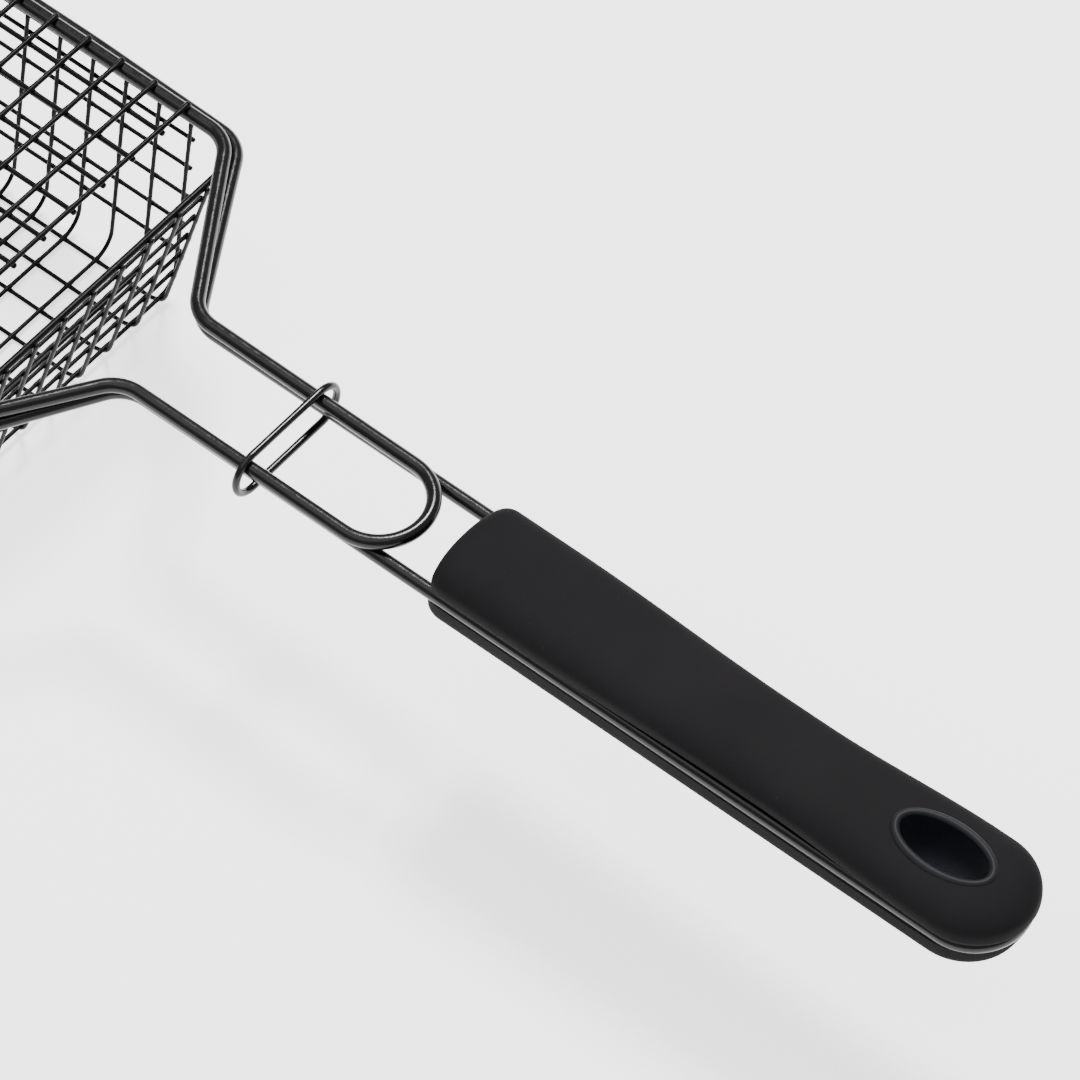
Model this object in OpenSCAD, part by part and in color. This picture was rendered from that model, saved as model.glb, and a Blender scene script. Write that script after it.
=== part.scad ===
// Deep wire grill basket with a hinged mesh lid, a sliding lock ring and a two-shell handle.
// X runs from the hinge to the tip of the handle, Y runs across, Z is up.
// Lengths along X are counted from the bend where the neck begins, until place() moves them.

/* [Wire diameters] */
// Coated wire of the basket frame and the lid frame
heavy_d = 4.4; // [3.6:0.1:4.6]
// Wire of the rim around the mouth of the basket
rim_d = 2.3; // [2:0.1:2.6]
// Wire of the basket mesh
mesh_d = 1.3; // [1:0.1:1.5]
// Wire of the lid mesh
lid_mesh_d = 1.6; // [1.2:0.1:1.8]
// Wire of the lock ring and the hinge links
ring_d = 2.3; // [2:0.1:2.6]

/* [Basket] */
// Distance between neighbouring cross wires
pitch = 12.5; // [12:0.1:12.5]
// Distance between neighbouring long wires
long_pitch = 12.1; // [12:0.1:12.2]
// Distance between neighbouring straight wires of a wall
row_pitch = 11.4; // [11:0.1:11.5]
// Number of cross wires, each one bent into two side walls and the floor
cross_count = 16; // [12:1:18]
// Number of long wires, each one bent into two end walls and the floor
long_count = 10; // [10]
// Number of straight wires on each wall
wall_rows = 5; // [3:1:5]
// Half of the distance between the long sides of the frame
frame_half_w = 71.8; // [70:0.1:73]
// Depth from the frame to the cross wires of the floor
depth = 68; // [66:1:72]
// Half width of the floor at its side folds
floor_half_w = 58.5; // [58:0.5:60]
// How far each end wall leans in between the rim and the floor
end_lean = 18.8; // [18:0.1:20]
// Bend radius of the mesh wires at the floor
fold_r = 8; // [7:0.5:9]
// Bend radius at the corners of the frame and the rim
corner_r = 12; // [12:0.5:14]

/* [Neck] */
// Half of the distance between the two neck wires
neck_half_w = 14.8; // [14.5:0.1:16]
// Length along X of the slanted wires between the basket and the neck
shoulder_x = 33; // [32.5:0.1:35]
// Where the near side of the rim lies
near_rim_x = -32.3; // [-33:0.1:-31]
// Where the arch at the end of the lid frame ends
arch_x = 95.9; // [90:0.1:96]

/* [Lid] */
// Gap between the lid frame and the basket frame where they lie on each other
rest_gap = 0.3; // [0.3:0.05:0.5]
// How far the long sides of the lid frame lie inside those of the basket frame
lid_inset = 3.2; // [1:0.1:4]
// Where the last cross wire of the lid lies
lid_first_x = -49.9; // [-53:0.1:-49]
// Number of cross wires in the lid
lid_cross_count = 17; // [12:1:17]
// Number of long wires in the lid
lid_long_count = 10; // [6:2:10]

/* [Lock ring] */
// Where the lock ring holds the lid shut
lock_x = 46.6; // [20:0.1:70]
// Half of the height of the lock ring, and the bend radius of its round ends
lock_r = 7; // [6.5:0.1:7.5]
// How far the lock ring reaches past the neck wires
lock_reach = 6.1; // [6:0.1:7]

/* [Handle] */
// Where the handle begins
grip_x = 109; // [108:0.1:114]
// Length of the handle
grip_len = 196.8; // [188:0.1:200]
// Half width of the upper shell at the neck
grip_half_w = 17.4; // [17.2:0.1:18]
// How much the upper shell narrows at its waist
waist_in = 1.4; // [0:0.1:2]
// Height of the handle over the frame wire
grip_top = 12.4; // [12:0.1:14]
// Depth of the handle under the frame wire
grip_bottom = 10.2; // [9:0.1:10.5]
// Wall thickness of the handle shells
grip_wall = 2.6; // [2:0.1:3]
// Length of the oval hang hole through its sleeve
hole_len = 28.6; // [26:0.1:30]
// Width of the oval hang hole through its sleeve
hole_w = 13.4; // [12:0.1:14]

/* [Hidden] */
BASKET = concat(
    ["basket_frame", "basket_rim"],
    [for (i = [1:cross_count]) str("cross_wire_", i)],
    [for (i = [1:long_count]) str("long_wire_", i)],
    ["near_wall_wires", "far_wall_wires", "left_wall_wires", "right_wall_wires"]);
HANDLE = ["grip_upper_shell", "grip_lower_shell", "hang_sleeve", "grip_screws"];
LID = ["lid_frame", "lid_cross_wires", "lid_long_wires", "hinge_link_left", "hinge_link_right"];

touch = 0.03;                                    // clearance between wires that are welded
coat = "#1c1c1e";
coat_light = "#2a2a2d";
plastic = "#333336";
plastic_dark = "#26262a";
steel = "#77777c";

heavy_r = heavy_d / 2;
cross_first_x = near_rim_x - 16.7;
cross_last_x = cross_first_x - (cross_count - 1) * pitch;
mid_x = (cross_first_x + cross_last_x) / 2;
far_rim_x = 2 * mid_x - near_rim_x;
hinge_x = far_rim_x - 8;                         // leaves room for the hinge links
rim_half_w = frame_half_w - 1.1;                 // the rim is welded under the frame
rim_z = -heavy_r - rim_d / 2 - 0.15;

// walls: the uprights are lapped on the rim, inside it at the sides and outside it at the ends
wall_top_z = rim_z + 1.1;
side_top = rim_half_w - (rim_d + mesh_d) / 2 - touch;
end_top = (rim_d + mesh_d) / 2 + 0.45;           // outward from the rim, room for the lean
long_floor_z = -depth - mesh_d - touch;          // the long wires pass under the cross wires
row_first = 7.6;
row_margin = 0.5;                                // rows end at the edge uprights
raise_end = 2;                                   // the end cross wires sit inside the end folds
shift_end = 0.6;

lid_half_w = frame_half_w - lid_inset;
stack_z = heavy_d + rest_gap;
link_y = 48;
lid_wire_z = heavy_r + lid_mesh_d / 2 + touch;

grip_end = grip_x + grip_len;
grip_mid_z = 5.5;                                // height of the widest line of the upper shell
grip_end_half_w = 18;
slant_half_w = 19.4;                             // half width seen square to the shoulders
slant = 30;
tip_r = 18.5;
tray_half_w = 16.9;
tray_shift = 2.4;                                // the lower shell sits nearer to the basket
wire_end_x = grip_end - 1.4 - heavy_r;
groove_r = heavy_r + 0.06;
tongue_half_w = neck_half_w - heavy_r - 0.2;
step_z = heavy_r + 0.4;                          // the upper shell clears the wire by this step
hole_x = 276.3;
sleeve_t = 2.2;
sleeve_rise = 1.1;
screw_x = [grip_x + 30, grip_x + 128];

link_r = heavy_r + 0.35 + ring_d / 2;            // bend radius of the hinge links
origin_x = (grip_end + hinge_x - link_r - ring_d / 2) / 2;
ground_z = long_floor_z - mesh_d / 2;

// ---------- helpers ----------

function unit(v) = v / norm(v);
function side_of(w) = abs(w.z) < 0.9 ? unit(cross([0, 0, 1], w)) : unit(cross([1, 0, 0], w));
function mirrored_y(p) = [p.x, -p.y, p.z];
function reversed(list) = [for (i = [len(list) - 1:-1:0]) list[i]];

// moves a child from the working frame to the frame of the part
module place() {
    translate([-origin_x, 0, -ground_z])
        children();
}

// puts a child at point p with its own X, Y and Z along ex, ey and ez
module at(p, ex, ey, ez) {
    multmatrix([
        [ex.x, ey.x, ez.x, p.x],
        [ex.y, ey.y, ez.y, p.y],
        [ex.z, ey.z, ez.z, p.z],
        [0, 0, 0, 1]])
        children();
}

module rod(a, b, d) {
    w = unit(b - a);
    ex = side_of(w);
    at(a, ex, cross(w, ex), w)
        cylinder(d = d, h = norm(b - a), $fn = 24);
}

// half of the turn from direction u to direction v
function half_turn(u, v) = acos(min(1, max(-1, u * v))) / 2;

// a bend at corner p of radius r, from direction u to direction v;
// it is a hair thinner than the straights and runs a little way into them
module elbow(p, u, v, r, d) {
    half = half_turn(u, v);
    over = acos(1 - 0.004 / r);
    centre = p + unit(v - u) * r / cos(half);
    ez = unit(cross(u, v));
    ex = unit(p - u * r * tan(half) - centre);
    at(centre, ex, cross(ez, ex), ez)
        rotate([0, 0, -over])
            rotate_extrude(angle = 2 * (half + over), $fn = 64)
                translate([r, 0])
                    circle(d = d - 0.02, $fn = 24);
}

// one bent wire through the corners pts, each with its own bend radius in bends
module bent_wire(pts, bends, d, closed = false) {
    n = len(pts);
    dir = [for (i = [0:n - 1]) unit(pts[(i + 1) % n] - pts[i])];
    trim = [for (i = [0:n - 1]) !closed && (i == 0 || i == n - 1) ? 0 :
        bends[i] * tan(half_turn(dir[(i + n - 1) % n], dir[i]))];
    for (i = [0:closed ? n - 1 : n - 2])
        rod(pts[i] + dir[i] * trim[i], pts[(i + 1) % n] - dir[i] * trim[(i + 1) % n], d);
    for (i = [0:n - 1])
        if (closed || (i > 0 && i < n - 1))
            elbow(pts[i], dir[(i + n - 1) % n], dir[i], bends[i], d);
}

// a closed wire loop that is mirrored about Y = 0, from its corners on the +Y side
module mirrored_loop(half_pts, half_bends, d) {
    bent_wire(
        concat(half_pts, [for (p = reversed(half_pts)) mirrored_y(p)]),
        concat(half_bends, reversed(half_bends)), d, closed = true);
}

// ---------- basket ----------

module basket_frame() {
    place()
        color(coat)
            mirrored_loop([
                [wire_end_x, neck_half_w, 0],
                [0, neck_half_w, 0],
                [-shoulder_x, frame_half_w, 0],
                [hinge_x, frame_half_w, 0]],
                [neck_half_w - 0.6, corner_r, corner_r, corner_r], heavy_d);
}

module basket_rim() {
    place()
        color(coat)
            mirrored_loop([
                [near_rim_x, rim_half_w, rim_z],
                [far_rim_x, rim_half_w, rim_z]],
                [corner_r, corner_r], rim_d);
}

// cross wire number i is one wire: side wall, floor, side wall
module cross_wire(i) {
    last = cross_count;
    at_end = i == 1 || i == last;
    x = cross_first_x - (i - 1) * pitch + (i == 1 ? -shift_end : i == last ? shift_end : 0);
    z = -depth + (at_end ? raise_end : 0);
    place()
        color(coat_light)
            bent_wire([
                [x, side_top, wall_top_z],
                [x, floor_half_w, z],
                [x, -floor_half_w, z],
                [x, -side_top, wall_top_z]],
                [0, fold_r, fold_r, 0], mesh_d);
}

// long wire number i is one wire: end wall, floor, end wall
module long_wire(i) {
    y = (i - (long_count + 1) / 2) * long_pitch;
    near_x = near_rim_x + end_top;
    far_x = far_rim_x - end_top;
    place()
        color(coat_light)
            bent_wire([
                [near_x, y, wall_top_z],
                [near_x - end_lean, y, long_floor_z],
                [far_x + end_lean, y, long_floor_z],
                [far_x, y, wall_top_z]],
                [0, fold_r, fold_r, 0], mesh_d);
}

// the straight wires of one end wall lie inside its uprights
module end_wall_wires(rim_x, inward) {
    top = [rim_x - inward * end_top, 0, wall_top_z];
    foot = [top.x + inward * end_lean, 0, long_floor_z];
    down = unit(foot - top);
    half = (long_count - 1) / 2 * long_pitch + row_margin;
    normal = [-inward * down.z, 0, inward * down.x];
    place()
        color(coat_light)
            for (i = [0:wall_rows - 1]) {
                p = top + down * (row_first + i * row_pitch) + normal * (mesh_d + touch);
                rod(p + [0, -half, 0], p + [0, half, 0], mesh_d);
            }
}

// the straight wires of one side wall lie outside its uprights
module side_wall_wires(side) {
    top = [0, side * side_top, wall_top_z];
    foot = [0, side * floor_half_w, -depth];
    down = unit(foot - top);
    normal = [0, -side * down.z, side * down.y];
    place()
        color(coat_light)
            for (i = [0:wall_rows - 1]) {
                p = top + down * (row_first + i * row_pitch) + normal * (mesh_d + touch);
                rod([cross_last_x - row_margin, p.y, p.z], [cross_first_x + row_margin, p.y, p.z], mesh_d);
            }
}

// ---------- lid ----------

module lid_frame() {
    lean = lid_inset * tan(half_turn([1, 0, 0], unit([shoulder_x, neck_half_w - frame_half_w, 0])));
    place()
        color(coat)
            mirrored_loop([
                [arch_x, neck_half_w, stack_z],
                [0, neck_half_w, stack_z],
                [-shoulder_x - lean, lid_half_w, stack_z],
                [hinge_x, lid_half_w, stack_z]],
                [neck_half_w - 0.6, corner_r, corner_r, corner_r], heavy_d);
}

module lid_cross_wires() {
    half = lid_half_w + 0.8;
    place()
        color(coat_light)
            for (i = [0:lid_cross_count - 1]) {
                x = lid_first_x - i * pitch;
                z = stack_z + lid_wire_z;
                rod([x, -half, z], [x, half, z], lid_mesh_d);
            }
}

module lid_long_wires() {
    far_x = hinge_x + heavy_r + 0.1;
    near_x = lid_first_x + lid_mesh_d / 2;
    z = stack_z + lid_wire_z - lid_mesh_d - touch;
    place()
        color(coat_light)
            for (i = [0:lid_long_count - 1]) {
                y = (i - (lid_long_count - 1) / 2) * pitch;
                rod([far_x, y, z], [near_x, y, z], lid_mesh_d);
            }
}

// an oval link holds the lid frame and swings round the basket frame
module hinge_link(y) {
    r = link_r;
    place()
        color(coat)
            bent_wire([
                [hinge_x + r, y, -r],
                [hinge_x + r, y, stack_z + r],
                [hinge_x - r, y, stack_z + r],
                [hinge_x - r, y, -r]],
                [r - 0.4, r - 0.4, r - 0.4, r - 0.4], ring_d, closed = true);
}

// ---------- lock ring ----------

module lock_ring() {
    half = neck_half_w + lock_reach;
    mid = stack_z + heavy_r + ring_d / 2 + rest_gap - lock_r;
    place()
        color(coat)
            bent_wire([
                [lock_x, half, mid + lock_r],
                [lock_x, -half, mid + lock_r],
                [lock_x, -half, mid - lock_r],
                [lock_x, half, mid - lock_r]],
                [lock_r - 0.5, lock_r - 0.5, lock_r - 0.5, lock_r - 0.5], ring_d, closed = true);
}

// ---------- handle ----------

// 0 at a, 1 at b, smooth between
function ramp(x, a, b) = let (t = min(1, max(0, (x - a) / (b - a)))) t * t * (3 - 2 * t);
// closes the handle in plan at its round tip and at its rounded front edge
function tip_close(x, r) = let (t = max(0, (x - grip_end + r) / r)) sqrt(max(0.0004, 1 - t * t));
function front_close(x, r) = let (t = max(0, (grip_x + r - x) / r)) sqrt(max(0.0004, 1 - t * t));

// 1 at the narrow waist of the upper shell, 0 in front of it and at the end
function waist(x) = ramp(x, grip_x + 30, grip_x + 102) - ramp(x, grip_x + 114, grip_x + 174);
function upper_half_w(x) =
    grip_half_w - waist_in * waist(x)
    + (grip_end_half_w - grip_half_w) * ramp(x, grip_x + 120, grip_x + 172);
function upper_top(x) = grip_top - 1.2 * waist(x) + 0.2 * ramp(x, grip_x + 114, grip_x + 174);

// stations along the handle, close together where its ends are round
stations = concat(
    [for (t = [0:15:75]) grip_x + 5 * (1 - cos(t))],
    [for (t = [0:12]) grip_x + 5 + (grip_len - 5 - tip_r) * t / 12],
    [for (t = [10:10:80]) grip_end - tip_r + tip_r * sin(t)],
    [grip_end]);

// an outline in X and Y: half width w(x) on both sides, closed at the tip and at the front
module plan_prism(half_w) {
    linear_extrude(height = 60, center = true)
        polygon(concat(
            [for (i = [0:len(stations) - 1]) [stations[i], half_w[i]]],
            [for (i = [len(stations) - 1:-1:0]) [stations[i], -half_w[i]]]));
}

// an outline in X and Z: from the flat side at z0 to the height at each station
module side_prism(z0, height) {
    n = len(stations);
    rotate([90, 0, 0])
        linear_extrude(height = 60, center = true)
            polygon(concat(
                [[stations[0], z0]],
                [for (i = [0:n - 1]) [stations[i], height[i]]],
                [[stations[n - 1], z0]]));
}

// an outline in Y and Z: a superellipse over z = mid that tapers to a flat side at z0
module section_prism(half, mid, reach, power, z0, foot_half) {
    translate([grip_x - 5, 0, 0])
        rotate([90, 0, 90])
            linear_extrude(height = grip_len + 10)
                polygon(concat(
                    [[foot_half, z0]],
                    [for (t = [0:10:180])
                        [half * sign(cos(t)) * pow(abs(cos(t)), 2 / power),
                            mid + reach * pow(sin(t), 2 / power)]],
                    [[-foot_half, z0]]));
}

module upper_body() {
    ends = [for (x = stations) tip_close(x, tip_r) * (0.8 + 0.2 * front_close(x, 5))];
    n = len(stations);
    intersection() {
        plan_prism([for (i = [0:n - 1]) upper_half_w(stations[i]) * ends[i]]);
        for (side = [-1, 1])
            rotate([side * slant, 0, 0])
                plan_prism([for (i = [0:n - 1])
                    (slant_half_w - 1.8 * waist(stations[i])) * pow(ends[i], 0.8)]);
        side_prism(step_z, [for (x = stations) grip_mid_z + (upper_top(x) - grip_mid_z)
            * pow(tip_close(x, tip_r), 0.6) * (0.4 + 0.6 * front_close(x, 5))]);
        section_prism(grip_end_half_w, grip_mid_z, grip_top + 0.3 - grip_mid_z, 2.8,
            step_z, 0.9 * grip_end_half_w);
    }
}

module lower_body() {
    ends = [for (x = stations) tip_close(x, tip_r) * (0.84 + 0.16 * front_close(x, 5))];
    intersection() {
        translate([-tray_shift, 0, 0])
            plan_prism([for (e = ends) tray_half_w * e]);
        translate([-tray_shift, 0, 0])
            side_prism(0, [for (x = stations) -grip_bottom
                * pow(tip_close(x, tip_r), 0.6) * (0.5 + 0.5 * front_close(x, 5))]);
        section_prism(tray_half_w + 0.1, -0.6, -grip_bottom + 0.5, 5, 0, tray_half_w);
    }
}

// the room that the frame wire takes between the shells
module wire_groove() {
    arc_x = wire_end_x - neck_half_w;
    for (side = [-1, 1])
        translate([grip_x - 5, side * neck_half_w, 0])
            rotate([0, 90, 0])
                cylinder(r = groove_r, h = arc_x - grip_x + 5, $fn = 32);
    translate([arc_x, 0, 0])
        rotate([0, 0, -90])
            rotate_extrude(angle = 180, $fn = 96)
                translate([neck_half_w, 0])
                    circle(r = groove_r, $fn = 32);
}

// the middle of the upper shell reaches down between the wires
module tongue() {
    end_x = wire_end_x - heavy_r - 0.2 - tongue_half_w;
    translate([0, 0, 0.05])
        linear_extrude(height = step_z + 1)
            polygon(concat(
                [[grip_x + 2, tongue_half_w], [grip_x + 2, -tongue_half_w]],
                [for (t = [-90:10:90])
                    [end_x + tongue_half_w * cos(t), tongue_half_w * sin(t)]]));
}

// an upright oval prism round the hang hole, grown outward by a wall
module oval(wall, z0, z1) {
    translate([hole_x, 0, z0])
        linear_extrude(height = z1 - z0)
            polygon([for (t = [0:10:350])
                [(hole_len / 2 + wall) * cos(t), (hole_w / 2 + wall) * sin(t)]]);
}

// hollow of a shell: one long pocket that stops short of the sleeve
module pocket(half, z0, z1) {
    translate([grip_x + 8, -half, z0])
        cube([hole_x - hole_len / 2 - grip_x - 8 - 8, 2 * half, z1 - z0]);
}

module screw_posts(d, z0, z1) {
    for (x = screw_x)
        translate([x, 0, z0])
            cylinder(d = d, h = z1 - z0, $fn = 32);
}

module grip_upper_shell() {
    place()
        color(plastic)
            difference() {
                union() {
                    upper_body();
                    tongue();
                }
                difference() {
                    pocket(11, -1, grip_top - 1.2 - grip_wall);
                    screw_posts(7, -1, grip_top);
                }
                screw_posts(2.6, -1, 7);
                oval(sleeve_t + 0.05, -1, 20);
            }
}

module grip_lower_shell() {
    place()
        color(plastic_dark)
            difference() {
                lower_body();
                difference() {
                    pocket(11, -grip_bottom + grip_wall, 1);
                    screw_posts(8, -grip_bottom, 1);
                }
                screw_posts(3.4, -grip_bottom - 1, 1);
                screw_posts(6.2, -grip_bottom - 1, -grip_bottom + 2.6);
                wire_groove();
                oval(sleeve_t + 0.05, -20, 1);
            }
}

module hang_sleeve() {
    place()
        color(plastic_dark)
            difference() {
                oval(sleeve_t, -grip_bottom + 0.6, upper_top(hole_x) + sleeve_rise);
                oval(0, -grip_bottom - 1, upper_top(hole_x) + sleeve_rise + 1);
            }
}

module grip_screws() {
    place()
        color(steel)
            for (x = screw_x) {
                translate([x, 0, -grip_bottom + 0.8])
                    cylinder(d = 5.8, h = 1.7, $fn = 32);
                translate([x, 0, -grip_bottom + 2.5])
                    cylinder(d = 2.5, h = grip_bottom - 2.5 + 6.4, $fn = 24);
            }
}

basket_frame();
basket_rim();
for (i = [1:cross_count])
    cross_wire(i);
for (i = [1:long_count])
    long_wire(i);
end_wall_wires(near_rim_x, -1);  // near_wall_wires
end_wall_wires(far_rim_x, 1);  // far_wall_wires
side_wall_wires(1);  // left_wall_wires
side_wall_wires(-1);  // right_wall_wires
grip_upper_shell();
grip_lower_shell();
hang_sleeve();
grip_screws();
lid_frame();
lid_cross_wires();
lid_long_wires();
hinge_link(link_y);  // hinge_link_left
hinge_link(-link_y);  // hinge_link_right
lock_ring();
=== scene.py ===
"""Grill basket: coated wires and a moulded handle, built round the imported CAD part.

Lengths are in millimetres until place() turns them into metres in the frame of the part.
"""

import math

import bmesh
import bpy
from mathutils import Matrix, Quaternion, Vector, kdtree, noise


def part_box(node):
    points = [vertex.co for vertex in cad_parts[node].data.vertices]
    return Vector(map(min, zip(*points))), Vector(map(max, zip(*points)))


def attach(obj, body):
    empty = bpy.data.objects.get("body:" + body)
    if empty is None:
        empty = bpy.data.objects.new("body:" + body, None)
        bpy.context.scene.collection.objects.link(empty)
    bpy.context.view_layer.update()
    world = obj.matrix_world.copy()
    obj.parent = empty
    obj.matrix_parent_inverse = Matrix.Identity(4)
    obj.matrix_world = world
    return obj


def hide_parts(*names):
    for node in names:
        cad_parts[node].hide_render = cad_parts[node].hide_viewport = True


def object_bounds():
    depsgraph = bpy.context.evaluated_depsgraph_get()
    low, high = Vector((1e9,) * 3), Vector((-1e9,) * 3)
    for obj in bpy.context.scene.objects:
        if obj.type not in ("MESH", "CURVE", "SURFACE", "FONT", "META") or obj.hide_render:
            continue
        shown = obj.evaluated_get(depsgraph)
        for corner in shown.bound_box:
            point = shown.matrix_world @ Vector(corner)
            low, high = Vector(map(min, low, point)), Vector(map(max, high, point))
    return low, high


MM = 0.001
WANDER_SEED = 11

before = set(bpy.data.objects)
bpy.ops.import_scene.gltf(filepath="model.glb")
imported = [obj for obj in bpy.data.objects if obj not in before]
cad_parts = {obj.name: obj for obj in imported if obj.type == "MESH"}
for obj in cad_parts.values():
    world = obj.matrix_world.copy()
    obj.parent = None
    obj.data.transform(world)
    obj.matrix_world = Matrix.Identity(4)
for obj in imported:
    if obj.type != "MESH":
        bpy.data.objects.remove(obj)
noise.seed_set(WANDER_SEED)         # without it the noise starts from the clock
CAD_LO, CAD_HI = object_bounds()

# ---------- sizes in millimetres ----------
# X = 0 where the neck begins, Y across, Z = 0 at the middle of the frame wire

HEAVY_R = 2.2
RIM_R = 1.15
MESH_R = 0.65
LID_MESH_R = 0.8
SUNK = 0.12                      # welded wires are pressed into each other by this much

PITCH = 12.5
LONG_PITCH = 12.1
ROW_PITCH = 11.2
CROSS_COUNT = 16
LONG_COUNT = 10
WALL_ROWS = 5
FRAME_HALF_W = 72.0
SHOULDER_HALF_W = 70.7           # the long sides come in a little towards the shoulders
SHOULDER_X = 33.0
NECK_HALF_W = 14.8
CORNER_R = 12.0
DEPTH = 68.0
FLOOR_HALF_W = 58.5
END_LEAN = 18.8
FOLD_R = 8.0
NEAR_RIM_X = -32.3
FIRST_X = NEAR_RIM_X - 16.7
LAST_X = FIRST_X - (CROSS_COUNT - 1) * PITCH
FAR_RIM_X = FIRST_X + LAST_X - NEAR_RIM_X
HINGE_X = FAR_RIM_X - 8.0
RIM_HALF_W = 70.7
RIM_Z = -HEAVY_R - RIM_R - 0.05
WALL_TOP_Z = RIM_Z + 1.1
ROW_FIRST = 7.1
ROW_MARGIN = 0.05
LONG_DRIFT = -1.1                # the long wires drift sideways a little down the end walls
LONG_SHIFT = -0.5

LID_Z = 2 * HEAVY_R              # the lid frame rests on the basket frame
LID_HALF_W = 68.5
LID_NECK_HALF_W = 15.3
ARCH_X = 95.9
ARCH_R = 15.0
LID_FIRST_X = -49.9
LID_MESH_Y = 1.2                 # its mesh is welded on a little off centre
LID_CROSS_COUNT = 17
LID_LONG_COUNT = 10
LID_YAW = math.radians(-0.33)    # the loose hinge lets the lid lie a little askew

LOCK_X = 46.2
LOCK_R = 7.0
LOCK_HALF = 21.3
LOCK_Y = -0.8
RING_R = 1.15
LINK_Y = 48.0

GRIP_X = 109.0
GRIP_END = GRIP_X + 196.8
TRAY_X = 107.6
TRAY_END = 303.2
GRIP_MID_Z = 5.5
WIRE_END_X = GRIP_END - 1.4 - HEAVY_R
TIP_R = 18.5
FRONT_R = 5.0
HOLE_X = 275.9
HOLE_Y = 1.3                     # the hang hole is moulded a little off centre
HOLE_A = 14.3
HOLE_B = 6.7
SLEEVE = 2.2
GRIP_BOTTOM = 10.2
SCREW_X = (GRIP_X + 30, GRIP_X + 128)
SCREW_SEAT_R = 3.1
SCREW_TURN = 0.4                 # how far the cross recesses are turned, in radians

ORIGIN_X = GRIP_END - CAD_HI[0] / MM
PLANE_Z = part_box("basket_frame")[0][2] / MM + HEAVY_R


def place(p):
    """From the sizes above to metres in the frame of the part."""
    return Vector((p[0] - ORIGIN_X, p[1], p[2] + PLANE_Z)) * MM


def ramp(x, a, b):
    t = min(1.0, max(0.0, (x - a) / (b - a)))
    return t * t * (3 - 2 * t)


# ---------- materials ----------

def new_material(name):
    mat = bpy.data.materials.new(name)
    mat.use_nodes = True
    return mat, mat.node_tree, mat.node_tree.nodes["Principled BSDF"]


def noise_node(tree, scale, detail=3.0, rough=0.5):
    coords = tree.nodes.new("ShaderNodeTexCoord")
    node = tree.nodes.new("ShaderNodeTexNoise")
    node.inputs["Scale"].default_value = scale
    node.inputs["Detail"].default_value = detail
    node.inputs["Roughness"].default_value = rough
    tree.links.new(coords.outputs["Object"], node.inputs["Vector"])
    return node.outputs["Fac"]


def ramp_node(tree, value, stops):
    """stops are (place, grey or colour) pairs."""
    node = tree.nodes.new("ShaderNodeValToRGB")
    elements = node.color_ramp.elements
    while len(elements) < len(stops):
        elements.new(0.5)
    for element, (where, tone) in zip(elements, stops):
        element.position = where
        element.color = (tone, tone, tone, 1) if isinstance(tone, float) else (*tone, 1)
    tree.links.new(value, node.inputs["Fac"])
    return node.outputs["Color"]


def bump_node(tree, height, distance, strength, before=None):
    node = tree.nodes.new("ShaderNodeBump")
    node.inputs["Distance"].default_value = distance
    node.inputs["Strength"].default_value = strength
    tree.links.new(height, node.inputs["Height"])
    if before:
        tree.links.new(before, node.inputs["Normal"])
    return node.outputs["Normal"]


def mix_colour(tree, fac, a, b):
    node = tree.nodes.new("ShaderNodeMix")
    node.data_type = "RGBA"
    tree.links.new(fac, node.inputs["Factor"])
    tree.links.new(a, node.inputs["A"])
    tree.links.new(b, node.inputs["B"])
    return node.outputs["Result"]


def coated_wire(name, tone, gloss, specular):
    """Black non-stick coating on steel wire: uneven gloss, orange peel and thin grey spots."""
    mat, tree, shader = new_material(name)
    pale = tuple(c * 1.9 for c in tone)
    cloud = ramp_node(tree, noise_node(tree, 90.0, 4.0), ((0.3, tone), (0.7, pale)))
    worn = ramp_node(tree, noise_node(tree, 700.0, 5.0, 0.7), ((0.68, 0.0), (0.8, 0.35)))
    spots = ((0.0, (0.02, 0.019, 0.018)), (1.0, (0.035, 0.034, 0.032)))
    grey = ramp_node(tree, noise_node(tree, 300.0), spots)
    tree.links.new(mix_colour(tree, worn, cloud, grey), shader.inputs["Base Color"])
    rough = ramp_node(tree, noise_node(tree, 420.0, 4.0), ((0.3, gloss), (0.75, gloss + 0.12)))
    tree.links.new(rough, shader.inputs["Roughness"])
    peel = bump_node(tree, noise_node(tree, 900.0, 2.0), 0.00005, 0.35)
    runs = bump_node(tree, noise_node(tree, 260.0, 2.0), 0.00012, 0.25, peel)
    tree.links.new(runs, shader.inputs["Normal"])
    shader.inputs["Specular IOR Level"].default_value = specular
    return mat


def grip_plastic(name, tone, gloss, grain, specular=0.025):
    """Moulded black plastic: fine grain, cloudy shine from handling and a few specks of dust."""
    mat, tree, shader = new_material(name)
    pale = tuple(c * 1.25 for c in tone)
    cloud = ramp_node(tree, noise_node(tree, 28.0, 5.0), ((0.3, tone), (0.72, pale)))
    specks = ramp_node(tree, noise_node(tree, 1100.0, 1.0), ((0.80, 0.0), (0.84, 0.5)))
    greys = ((0.0, (0.03, 0.03, 0.031)), (1.0, (0.05, 0.05, 0.051)))
    dust = ramp_node(tree, noise_node(tree, 60.0), greys)
    tree.links.new(mix_colour(tree, specks, cloud, dust), shader.inputs["Base Color"])
    rough = ramp_node(tree, noise_node(tree, 45.0, 6.0), ((0.3, gloss), (0.75, gloss + 0.06)))
    tree.links.new(rough, shader.inputs["Roughness"])
    fine = bump_node(tree, noise_node(tree, 3200.0, 2.0), 0.00004, grain)
    wave = bump_node(tree, noise_node(tree, 75.0, 2.0), 0.0002, 0.08, fine)
    tree.links.new(wave, shader.inputs["Normal"])
    shader.inputs["Specular IOR Level"].default_value = specular
    return mat


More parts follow.
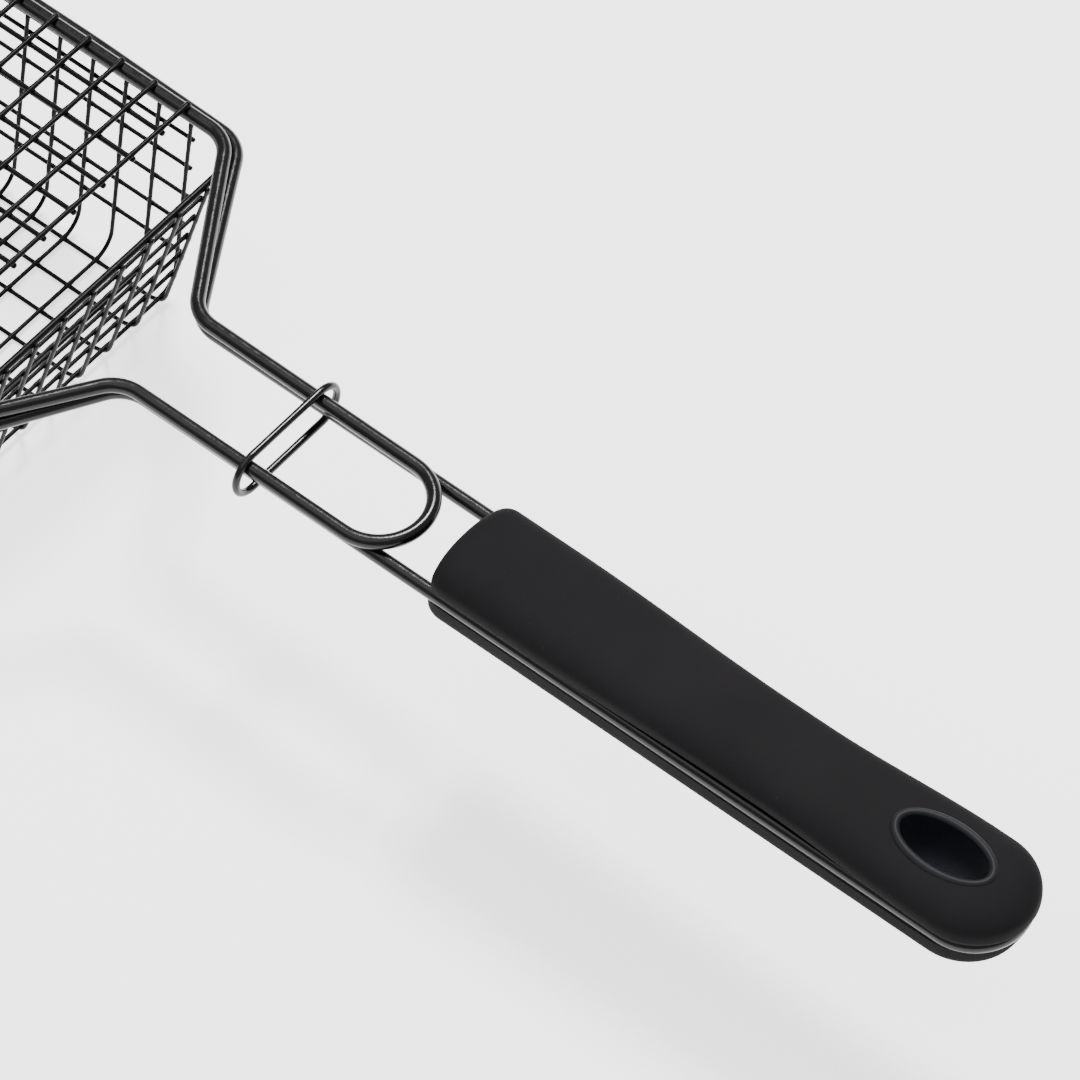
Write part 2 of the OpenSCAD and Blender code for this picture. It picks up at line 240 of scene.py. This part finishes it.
def screw_steel():
    """Zinc plated steel with fine turning marks."""
    mat, tree, shader = new_material("screw_steel")
    greys = ((0.2, (0.30, 0.30, 0.31)), (0.8, (0.50, 0.50, 0.52)))
    tone = ramp_node(tree, noise_node(tree, 500.0, 4.0), greys)
    tree.links.new(tone, shader.inputs["Base Color"])
    rough = ramp_node(tree, noise_node(tree, 900.0, 3.0), ((0.2, 0.28), (0.8, 0.5)))
    tree.links.new(rough, shader.inputs["Roughness"])
    tree.links.new(bump_node(tree, noise_node(tree, 2400.0), 0.00003, 0.4), shader.inputs["Normal"])
    shader.inputs["Metallic"].default_value = 1.0
    return mat


HEAVY = coated_wire("heavy_wire_coating", (0.002, 0.002, 0.0022), 0.15, 0.3)
MESH = coated_wire("mesh_wire_coating", (0.002, 0.002, 0.0022), 0.3, 0.08)
RING = coated_wire("ring_wire_coating", (0.002, 0.002, 0.0022), 0.16, 0.3)
PLASTIC = grip_plastic("grip_plastic", (0.0095, 0.0088, 0.0096), 0.6, 0.35)
COLLAR = grip_plastic("sleeve_plastic", (0.011, 0.0112, 0.0125), 0.45, 0.12, 0.09)
# a darker, bluish copy of the grip plastic: painted shade for the inside of the hang hole
BORE_SHADE = grip_plastic("bore_painted_shade", (0.0055, 0.0062, 0.0098), 0.8, 0.12)
STEEL = screw_steel()


# ---------- pieces ----------

def piece(name, bm, mat, body, nodes=(), sharp=40.0):
    """Makes the object, rides it on its body and lets it stand for its CAD nodes."""
    bmesh.ops.recalc_face_normals(bm, faces=bm.faces)
    mesh = bpy.data.meshes.new(name)
    bm.to_mesh(mesh)
    bm.free()
    obj = bpy.data.objects.new(name, mesh)
    bpy.context.collection.objects.link(obj)
    finish_piece(obj, mat, sharp)
    if body:
        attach(obj, body)
        if nodes:
            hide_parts(*nodes)
    return obj


def finish_piece(obj, mat, sharp=40.0):
    obj.data.materials.clear()
    obj.data.materials.append(mat)
    for poly in obj.data.polygons:
        poly.use_smooth = True
    obj.data.set_sharp_from_angle(angle=math.radians(sharp))


def skin(bm, rings, closed_along=False):
    """Quads between rings of points. A row of rings that isn't closed gets both its ends filled."""
    made = [[bm.verts.new(p) for p in ring] for ring in rings]
    count = len(made[0])
    pairs = list(zip(made, made[1:]))
    if closed_along:
        pairs.append((made[-1], made[0]))
    for a, b in pairs:
        for k in range(count):
            j = (k + 1) % count
            bm.faces.new((a[k], a[j], b[j], b[k]))
    if not closed_along:
        fan(bm, made[0])
        fan(bm, made[-1])


def fan(bm, ring):
    middle = bm.verts.new(sum((v.co for v in ring), Vector()) / len(ring))
    for k, vert in enumerate(ring):
        bm.faces.new((vert, ring[(k + 1) % len(ring)], middle))


# ---------- wires ----------

def spaced(points, step, closed):
    """The same path with points at most step apart."""
    out = []
    last = len(points) if closed else len(points) - 1
    for i in range(last):
        a, b = points[i], points[(i + 1) % len(points)]
        length = (b - a).length
        if length < 1e-4:
            continue
        parts = max(1, math.ceil(length / step))
        out += [a.lerp(b, k / parts) for k in range(parts)]
    if not closed:
        out.append(points[-1])
    return out


def bent(corners, bends, closed=False, step=1.3):
    """Straight runs through the corners, joined by arcs of the bend radii."""
    corners = [Vector(c) for c in corners]
    count = len(corners)
    points = []
    for i, here in enumerate(corners):
        if not closed and i in (0, count - 1):
            points.append(here)
            continue
        back = (corners[i - 1] - here).normalized()
        ahead = (corners[(i + 1) % count] - here).normalized()
        turn = math.pi - back.angle(ahead)
        centre = here + (back + ahead).normalized() * bends[i] / math.cos(turn / 2)
        start = here + back * bends[i] * math.tan(turn / 2)
        axis = (-back).cross(ahead).normalized()
        steps = max(3, math.ceil(math.degrees(turn) / 5))
        for k in range(steps + 1):
            points.append(centre + Quaternion(axis, turn * k / steps) @ (start - centre))
    return spaced(points, step, closed)


def mirrored(half):
    """A closed outline from its corners on the +Y side."""
    return list(half) + [(x, -y, z) for x, y, z in reversed(half)]


WIRES = []


def wire(name, points, radius, ref, kind, nodes=(), closed=False, sides=12):
    WIRES.append(dict(
        name=name, points=points, radius=radius, ref=Vector(ref), kind=kind,
        nodes=nodes, closed=closed, sides=sides))


def basket_wires():
    outline = mirrored([
        (WIRE_END_X, NECK_HALF_W, 0),
        (0, NECK_HALF_W, 0),
        (-SHOULDER_X, SHOULDER_HALF_W, 0),
        (-88, FRAME_HALF_W, 0),
        (HINGE_X, FRAME_HALF_W, 0)])
    half_bends = [NECK_HALF_W - 0.05, CORNER_R, CORNER_R, 500, CORNER_R]
    wire("frame_wire", bent(outline, half_bends + half_bends[::-1], True), HEAVY_R, (0, 0, 1),
         "heavy", ("basket_frame",), True, 28)
    rim = mirrored([(NEAR_RIM_X, RIM_HALF_W, RIM_Z), (FAR_RIM_X, RIM_HALF_W, RIM_Z)])
    wire("rim_wire", bent(rim, [CORNER_R] * 4, True), RIM_R, (0, 0, 1),
         "rim", ("basket_rim",), True, 18)


def cross_wires():
    top = RIM_HALF_W - RIM_R - MESH_R + SUNK
    for i in range(CROSS_COUNT):
        at_end = i in (0, CROSS_COUNT - 1)
        shift = 0.6 * ((i == CROSS_COUNT - 1) - (i == 0))
        x = FIRST_X - i * PITCH + shift
        z = -DEPTH + (2.0 if at_end else 0.0)
        points = bent([
            (x, top, WALL_TOP_Z),
            (x, FLOOR_HALF_W, z),
            (x, -FLOOR_HALF_W, z),
            (x, -top, WALL_TOP_Z)], [0, FOLD_R, FOLD_R, 0])
        wire(f"cross_wire_coated_{i + 1}", points, MESH_R, (1, 0, 0),
             "mesh", (f"cross_wire_{i + 1}",))


def end_top():
    return RIM_R + MESH_R + 0.35


def long_z():
    return -DEPTH - 2 * MESH_R + SUNK


def long_wires():
    for i in range(LONG_COUNT):
        y = (i - (LONG_COUNT - 1) / 2) * LONG_PITCH
        near, far = NEAR_RIM_X + end_top(), FAR_RIM_X - end_top()
        high, low = y + LONG_SHIFT, y + LONG_SHIFT + LONG_DRIFT
        points = bent([
            (near, high, WALL_TOP_Z),
            (near - END_LEAN, low, long_z()),
            (far + END_LEAN, low, long_z()),
            (far, high, WALL_TOP_Z)], [0, FOLD_R, FOLD_R, 0])
        wire(f"long_wire_coated_{i + 1}", points, MESH_R, (0, 1, 0),
             "mesh", (f"long_wire_{i + 1}",))


def rows(top, foot, normal, ends, label, node):
    """The straight wires of one wall: from its top edge down, on the side that normal says."""
    down = (foot - top).normalized()
    for k in range(WALL_ROWS):
        middle = top + down * (ROW_FIRST + k * ROW_PITCH) + normal * (2 * MESH_R - SUNK)
        points = spaced([middle + ends[0], middle + ends[1]], 1.3, False)
        wire(f"{label}_{k + 1}", points, MESH_R, (0, 0, 1), "mesh", (node,) if k == 0 else ())


def wall_wires():
    half = (LONG_COUNT - 1) / 2 * LONG_PITCH + ROW_MARGIN
    for rim_x, inward, label in ((NEAR_RIM_X, -1, "near"), (FAR_RIM_X, 1, "far")):
        top = Vector((rim_x - inward * end_top(), 0, WALL_TOP_Z))
        foot = Vector((top.x + inward * END_LEAN, 0, long_z()))
        down = (foot - top).normalized()
        normal = Vector((-inward * down.z, 0, inward * down.x))
        rows(top, foot, normal, (Vector((0, -half, 0)), Vector((0, half, 0))),
             f"{label}_wall_row", f"{label}_wall_wires")
    side_top = RIM_HALF_W - RIM_R - MESH_R + SUNK
    for side, label in ((1, "left"), (-1, "right")):
        top = Vector((0, side * side_top, WALL_TOP_Z))
        foot = Vector((0, side * FLOOR_HALF_W, -DEPTH))
        down = (foot - top).normalized()
        normal = Vector((0, -side * down.z, side * down.y))
        ends = (Vector((LAST_X - ROW_MARGIN, 0, 0)), Vector((FIRST_X + ROW_MARGIN, 0, 0)))
        rows(top, foot, normal, ends, f"{label}_wall_row", f"{label}_wall_wires")


def askew(points):
    """The lid lies a little askew on its loose hinge."""
    hinge = Vector((HINGE_X, 0, 0))
    turn = Quaternion((0, 0, 1), LID_YAW)
    return [hinge + turn @ (p - hinge) for p in points]


def lid_wires():
    outline = mirrored([
        (ARCH_X, ARCH_R, LID_Z),
        (0, LID_NECK_HALF_W, LID_Z),
        (-SHOULDER_X - 1.9, LID_HALF_W, LID_Z),
        (HINGE_X, LID_HALF_W, LID_Z)])
    half_bends = [ARCH_R - 0.05, CORNER_R, CORNER_R, CORNER_R]
    wire("lid_frame_wire", askew(bent(outline, half_bends + half_bends[::-1], True)), HEAVY_R,
         (0, 0, 1), "lid_heavy", ("lid_frame",), True, 28)
    half = LID_HALF_W + 0.8
    z = LID_Z + HEAVY_R + LID_MESH_R - SUNK
    for i in range(LID_CROSS_COUNT):
        x = LID_FIRST_X - i * PITCH
        points = spaced([Vector((x, -half, z)), Vector((x, half, z))], 1.3, False)
        wire(f"lid_cross_wire_{i + 1}", askew(points), LID_MESH_R, (0, 0, 1), "lid_mesh",
             ("lid_cross_wires",) if i == 0 else (), sides=14)
    low = z - 2 * LID_MESH_R + SUNK
    for i in range(LID_LONG_COUNT):
        y = (i - (LID_LONG_COUNT - 1) / 2) * PITCH + LID_MESH_Y
        far, near = HINGE_X + HEAVY_R - SUNK, LID_FIRST_X + LID_MESH_R
        points = spaced([Vector((far, y, low)), Vector((near, y, low))], 1.3, False)
        wire(f"lid_long_wire_{i + 1}", askew(points), LID_MESH_R, (0, 0, 1), "lid_mesh",
             ("lid_long_wires",) if i == 0 else (), sides=14)
    r = HEAVY_R + RING_R + 0.2
    for y, label in ((LINK_Y, "left"), (-LINK_Y, "right")):
        corners = [(HINGE_X + r, y, -r), (HINGE_X + r, y, LID_Z + r),
                   (HINGE_X - r, y, LID_Z + r), (HINGE_X - r, y, -r)]
        points = askew(bent(corners, [r - 0.05] * 4, True, 0.8))
        wire(f"hinge_link_wire_{label}", points, RING_R, (0, 1, 0), "link",
             (f"hinge_link_{label}",), True, 16)


def lock_wire():
    mid = LID_Z + HEAVY_R + RING_R - LOCK_R
    left, right = LOCK_Y + LOCK_HALF, LOCK_Y - LOCK_HALF
    corners = [(LOCK_X, left, mid + LOCK_R), (LOCK_X, right, mid + LOCK_R),
               (LOCK_X, right, mid - LOCK_R), (LOCK_X, left, mid - LOCK_R)]
    wire("lock_ring_wire", bent(corners, [LOCK_R - 0.05] * 4, True, 0.8), RING_R, (1, 0, 0),
         "lock", ("lock_ring",), True, 18)


KINDS = {
    "heavy": (HEAVY, "basket", "heavy_wire"),
    "rim": (MESH, "basket", "mesh_wire"),
    "mesh": (MESH, "basket", "mesh_wire"),
    "lid_heavy": (HEAVY, "lid", "heavy_wire"),
    "lid_mesh": (MESH, "lid", "mesh_wire"),
    "link": (RING, "lid", "ring_wire"),
    "lock": (RING, "lock", "ring_wire"),
}


def wander(p):
    """Hand-bent wire is never quite straight: a slow drift shared by all wires at one place."""
    return p + 0.16 * noise.noise_vector(p / 38.0)


def weld_swell(index, point, tree, owners):
    """How much the coating thickens a wire at point, next to the wires it is welded to."""
    own = WIRES[index]
    best = 0.0
    for _, other, distance in tree.find_range(point, own["radius"] + HEAVY_R + 0.8):
        if owners[other] == index:
            continue
        gap = distance - own["radius"] - WIRES[owners[other]]["radius"]
        best = max(best, math.exp(-(max(0.0, gap + 0.1) / 0.42) ** 2))
    return 1 + 0.2 * best


def tube(item, radii):
    """Rings round the path, with the cut ends rounded by the coating."""
    points, ref, sides = item["points"], item["ref"], item["sides"]
    closed, count = item["closed"], len(item["points"])
    rings = []
    for i, p in enumerate(points):
        before = points[i - 1] if closed or i else p
        after = points[(i + 1) % count] if closed or i < count - 1 else p
        along = (after - before).normalized()
        across = ref.cross(along).normalized()
        up = along.cross(across)
        turns = [2 * math.pi * k / sides for k in range(sides)]
        shape = [across * math.cos(a) + up * math.sin(a) for a in turns]
        middles = [(0.0, 1.0)]
        if not closed and i == 0:
            middles = [(-0.5, 0.4), (-0.38, 0.72), (-0.2, 0.92), (0.0, 1.0)]
        elif not closed and i == count - 1:
            middles = [(0.0, 1.0), (0.2, 0.92), (0.38, 0.72), (0.5, 0.4)]
        for reach, width in middles:
            centre = p + along * reach * radii[i]
            rings.append([place(centre + s * radii[i] * width) for s in shape])
    bm = bmesh.new()
    skin(bm, rings, closed)
    return bm


def build_wires():
    tree = kdtree.KDTree(sum(len(w["points"]) for w in WIRES))
    owners = []
    for index, item in enumerate(WIRES):
        if item["kind"] in ("mesh", "rim", "lid_mesh"):
            item["points"] = [wander(p) for p in item["points"]]
        for p in item["points"]:
            tree.insert(p, len(owners))
            owners.append(index)
    tree.balance()
    for index, item in enumerate(WIRES):
        mat, body, slot = KINDS[item["kind"]]
        radii = [item["radius"]] * len(item["points"])
        if item["kind"] in ("mesh", "lid_mesh"):
            radii = [r * weld_swell(index, p, tree, owners) for r, p in zip(radii, item["points"])]
        piece(item["name"], tube(item, radii), mat, body, item["nodes"])


# ---------- handle ----------

def waist(x):
    """1 at the narrow waist of the upper shell, 0 in front of it and at its end."""
    return ramp(x, GRIP_X + 30, GRIP_X + 102) - ramp(x, GRIP_X + 114, GRIP_X + 174)


def closing(x, end):
    """0 at the round tip, 1 where the tip begins."""
    t = max(0.0, (x - end + TIP_R) / TIP_R)
    return math.sqrt(max(0.0, 1 - t * t))


def opening(x, start):
    t = max(0.0, (start + FRONT_R - x) / FRONT_R)
    return math.sqrt(max(0.0, 1 - t * t))


def stations(start, end):
    """Places along a shell, close together where its ends are round."""
    front = [start + FRONT_R * (1 - math.cos(math.radians(a))) for a in range(0, 90, 9)]
    count = 60
    run = [start + FRONT_R + (end - TIP_R - start - FRONT_R) * k / count for k in range(count + 1)]
    tip = [end - TIP_R + TIP_R * math.sin(math.radians(a)) for a in range(5, 88, 4)]
    return front + run + tip + [end - 0.004]


def bulge(x, y, half):
    """The front edge is rounded in plan: its corners stand back."""
    return 1.8 * (y / half) ** 2 * (1 - ramp(x, GRIP_X, GRIP_X + 22))


def upper_section(x):
    """Half outline of the upper shell from the middle of its underside, round +Y, to its crest."""
    tip, front = closing(x, GRIP_END), opening(x, GRIP_X)
    narrow = waist(x)
    swell = ramp(x, GRIP_X + 120, GRIP_X + 172)
    half = (17.3 - 1.5 * narrow + 0.8 * swell) * (0.86 + 0.14 * front) * tip
    crest = 12.3 - 1.5 * narrow + 0.2 * swell
    top = GRIP_MID_Z + (crest - GRIP_MID_Z) * tip ** 0.62 * (0.5 + 0.5 * front)
    floor_z = 2.5 + 0.9 * ramp(x, GRIP_X + 60, GRIP_X + 185)
    low = GRIP_MID_Z - (GRIP_MID_Z - floor_z) * tip ** 0.5 * (0.75 + 0.25 * front)
    foot = half * 0.945
    out = [(foot * k / 6, low) for k in range(7)][:-1]
    out.append((foot - 0.5 * tip, low))
    rise = low + 0.45 * tip
    for k in range(9):
        a = math.pi / 2 * k / 8
        z = rise + (GRIP_MID_Z - rise) * (1 - math.cos(a))
        out.append((foot + (half - foot) * math.sin(a), z))
    for k in range(1, 23):
        a = math.pi / 2 * k / 22
        z = GRIP_MID_Z + (top - GRIP_MID_Z) * math.sin(a) ** (2 / 2.8)
        out.append((half * math.cos(a) ** (2 / 2.8), z))
    return out


def lower_section(x):
    """Half outline of the lower shell from the middle of its top, round +Y, to its keel."""
    tip, front = closing(x, TRAY_END), opening(x, TRAY_X)
    half = 16.95 * (0.88 + 0.12 * front) * tip
    lip = -1.0 - 0.5 * ramp(x, GRIP_X + 60, GRIP_X + 185)
    deep = lip + (-GRIP_BOTTOM - lip) * tip ** 0.62 * (0.6 + 0.4 * front)
    out = [(half * k / 6 * 0.93, lip) for k in range(7)]
    out.append((half * 0.975, lip - 0.1))
    side = lip - 0.55 * tip
    for k in range(23):
        a = math.pi / 2 * k / 22
        z = side + (deep - side) * math.sin(a) ** (2 / 5)
        out.append((half * math.cos(a) ** (2 / 5), z))
    return out


def shell(section, start, end):
    rings = []
    for x in stations(start, end):
        half = section(x)
        widest = max(0.01, max(y for y, _ in half))
        outline = half + [(-y, z) for y, z in reversed(half[1:-1])]
        rings.append([place((x + bulge(x, y, widest), y, z)) for y, z in outline])
    bm = bmesh.new()
    skin(bm, rings)
    return bm


def oval_column(grow, z0, z1, sides=96):
    """A plain upright oval round the hang hole, used to cut it out."""
    turns = [2 * math.pi * k / sides for k in range(sides)]
    rings = []
    for z in (z0, z1):
        rings.append([place((
            HOLE_X + (HOLE_A + grow) * math.cos(a),
            HOLE_Y + (HOLE_B + grow) * math.sin(a), z)) for a in turns])
    bm = bmesh.new()
    skin(bm, rings)
    return bm


def cut(obj, cutter_bm, mat, sharp=35.0):
    cutter = piece("cutter", cutter_bm, mat, None)
    modifier = obj.modifiers.new("cut", "BOOLEAN")
    modifier.operation = "DIFFERENCE"
    modifier.solver = "EXACT"
    modifier.object = cutter
    graph = bpy.context.evaluated_depsgraph_get()
    mesh = bpy.data.meshes.new_from_object(obj.evaluated_get(graph))
    obj.modifiers.clear()
    obj.data = mesh
    mesh.name = obj.name
    bpy.data.objects.remove(cutter)
    finish_piece(obj, mat, sharp)


def core():
    """The middle of the handle between the two runs of the frame wire."""
    half = NECK_HALF_W - HEAVY_R + 0.4
    end_x = WIRE_END_X - HEAVY_R - half
    outline = [(GRIP_X + 4, -half), (GRIP_X + 4, half)]
    outline += [(end_x + half * math.cos(math.radians(a)), half * math.sin(math.radians(a)))
                for a in range(90, -91, -6)]
    bm = bmesh.new()
    skin(bm, [[place((x, y, z)) for x, y in outline] for z in (-1.8, 4.0)])
    return bm


def paint_bore_shade(obj, mat, top):
    """Inside the hole the sleeve is dull, and painted darker and bluer as shade: every face below
    its lip and within its oval gets mat.
    """
    obj.data.materials.append(mat)
    middle = place((HOLE_X, HOLE_Y, 0))
    limit = place((0, 0, top)).z
    for face in obj.data.polygons:
        u = (face.center.x - middle.x) / MM / (HOLE_A + 0.3)
        v = (face.center.y - middle.y) / MM / (HOLE_B + 0.3)
        if face.center.z < limit and u * u + v * v < 1:
            face.material_index = 1


def collar():
    """The sleeve of the hang hole with its raised, rolled lip."""
    top = 12.1
    profile = [
        (SLEEVE, -9.4), (SLEEVE, top - 1.6), (SLEEVE + 0.55, top - 0.5), (SLEEVE + 0.5, top + 0.05),
        (SLEEVE + 0.2, top + 0.5), (SLEEVE - 0.3, top + 0.85), (SLEEVE - 0.9, top + 0.98),
        (0.85, top + 0.9), (0.35, top + 0.6), (0.08, top + 0.15), (0.0, top - 0.5),
        (-0.15, top - 3.0), (-0.9, 1.0), (-1.7, -8.6), (-1.2, -9.2), (0.8, -9.5), (1.6, -9.5)]
    sides = 128
    rings = []
    for k in range(sides):
        a = 2 * math.pi * k / sides
        ring = []
        for grow, z in profile:
            x = HOLE_X + (HOLE_A + grow) * math.cos(a)
            y = HOLE_Y + (HOLE_B + grow) * math.sin(a)
            ring.append(place((x, y, z)))
        rings.append(ring)
    bm = bmesh.new()
    skin(bm, rings, closed_along=True)
    return bm


def turned(x, profile, sides=40):
    """A body turned round an upright axis: profile is (radius, height) pairs."""
    rings = [[place((
        x + r * math.cos(2 * math.pi * k / sides), r * math.sin(2 * math.pi * k / sides), z))
        for k in range(sides)] for r, z in profile]
    bm = bmesh.new()
    skin(bm, rings)
    return bm


def slot_cutter(x, angle):
    """One arm of the cross recess in a screw head."""
    c, s = math.cos(angle), math.sin(angle)
    corners = [(1.9, 0.36), (-1.9, 0.36), (-1.9, -0.36), (1.9, -0.36)]
    low, high = -GRIP_BOTTOM - 1, -GRIP_BOTTOM + 1.9
    rings = []
    for z, shrink in ((low, 1.0), (high, 0.7)):
        rings.append([
            place((x + (u * c - v * s) * shrink, (u * s + v * c) * shrink, z)) for u, v in corners])
    bm = bmesh.new()
    skin(bm, rings)
    return bm


def handle():
    upper = piece("grip_upper_moulding", shell(upper_section, GRIP_X, GRIP_END), PLASTIC,
                  "basket", ("grip_upper_shell",), 35)
    lower = piece("grip_lower_moulding", shell(lower_section, TRAY_X, TRAY_END), PLASTIC,
                  "basket", ("grip_lower_shell",), 35)
    middle = piece("grip_core", core(), PLASTIC, "basket")
    for obj in (upper, lower, middle):
        cut(obj, oval_column(SLEEVE - 0.3, -20, 25), PLASTIC)
    ring = piece("hang_hole_collar", collar(), COLLAR,
                 "basket", ("hang_sleeve",), 50)
    # the faces inside the hole get the painted shade
    paint_bore_shade(ring, BORE_SHADE, 12.0)
    for number, x in enumerate(SCREW_X, 1):
        seat = [(SCREW_SEAT_R, -GRIP_BOTTOM - 2), (SCREW_SEAT_R, -GRIP_BOTTOM + 2.4)]
        cut(lower, turned(x, seat), PLASTIC)
        z = -GRIP_BOTTOM
        head = piece(f"grip_screw_{number}", turned(x, [
            (0.6, z + 0.75), (1.6, z + 0.8), (2.5, z + 1.05), (2.85, z + 1.5),
            (2.9, z + 2.0), (2.9, z + 2.7)]),
            STEEL, "basket", ("grip_screws",) if number == 1 else ())
        for angle in (SCREW_TURN, SCREW_TURN + math.pi / 2):
            cut(head, slot_cutter(x, angle), STEEL)


# ---------- stage ----------

AZIMUTH = math.radians(39.88)
ELEVATION = math.radians(53.15)
CAMERA_DISTANCE = 2.725          # metres from the point it looks at
LENS = 331.6
SENSOR = 36
FLOOR_GLOW = 1.6

def floor():
    """Pale paper, lit a little by itself so that its background comes near to white."""
    bpy.ops.mesh.primitive_plane_add(size=20, location=(0, 0, 0))
    plane = bpy.context.object
    plane.name = "floor"
    mat, tree, shader = new_material("floor_paper")
    tone = ramp_node(tree, noise_node(tree, 3.0), ((0.0, 0.9), (1.0, 0.92)))
    tree.links.new(tone, shader.inputs["Base Color"])
    shader.inputs["Roughness"].default_value = 0.9
    shader.inputs["Specular IOR Level"].default_value = 0.0
    shader.inputs["Emission Color"].default_value = (1, 1, 1, 1)
    shader.inputs["Emission Strength"].default_value = FLOOR_GLOW
    plane.data.materials.append(mat)


def area_light(name, direction, distance, size, power, aim):
    """A soft box at a distance from aim, in watts and metres."""
    data = bpy.data.lights.new(name, "AREA")
    data.shape = "RECTANGLE"
    data.size, data.size_y = size
    data.energy = power
    light = bpy.data.objects.new(name, data)
    way = Vector(direction).normalized()
    light.location = aim + way * distance
    light.rotation_euler = (-way).to_track_quat("-Z", "Y").to_euler()
    bpy.context.collection.objects.link(light)


def world_light(strength):
    world = bpy.data.worlds.new("studio")
    world.use_nodes = True
    background = world.node_tree.nodes["Background"]
    background.inputs["Color"].default_value = (1, 1, 1, 1)
    background.inputs["Strength"].default_value = strength
    bpy.context.scene.world = world


def camera():
    target = place((121.8, 17.8, 0))
    back = Vector((
        math.sin(AZIMUTH) * math.cos(ELEVATION),
        -math.cos(AZIMUTH) * math.cos(ELEVATION),
        math.sin(ELEVATION)))
    data = bpy.data.cameras.new("camera")
    data.lens = LENS
    data.sensor_width = SENSOR
    cam = bpy.data.objects.new("camera", data)
    cam.location = target + CAMERA_DISTANCE * back
    cam.rotation_mode = "QUATERNION"
    cam.rotation_quaternion = (-back).to_track_quat("-Z", "Y")
    data.clip_start, data.clip_end = 0.1, 100
    bpy.context.collection.objects.link(cam)
    bpy.context.scene.camera = cam


basket_wires()
cross_wires()
long_wires()
wall_wires()
lid_wires()
lock_wire()
build_wires()
handle()

floor()
world_light(0.55)
MIDDLE = place((60, 0, 0))
area_light("key", (-0.2, 0.45, 0.87), 2.2, (0.5, 0.5), 80, MIDDLE)
area_light("overhead", (-0.1, -0.25, 1.0), 2.4, (2.6, 2.6), 34, MIDDLE)
camera()
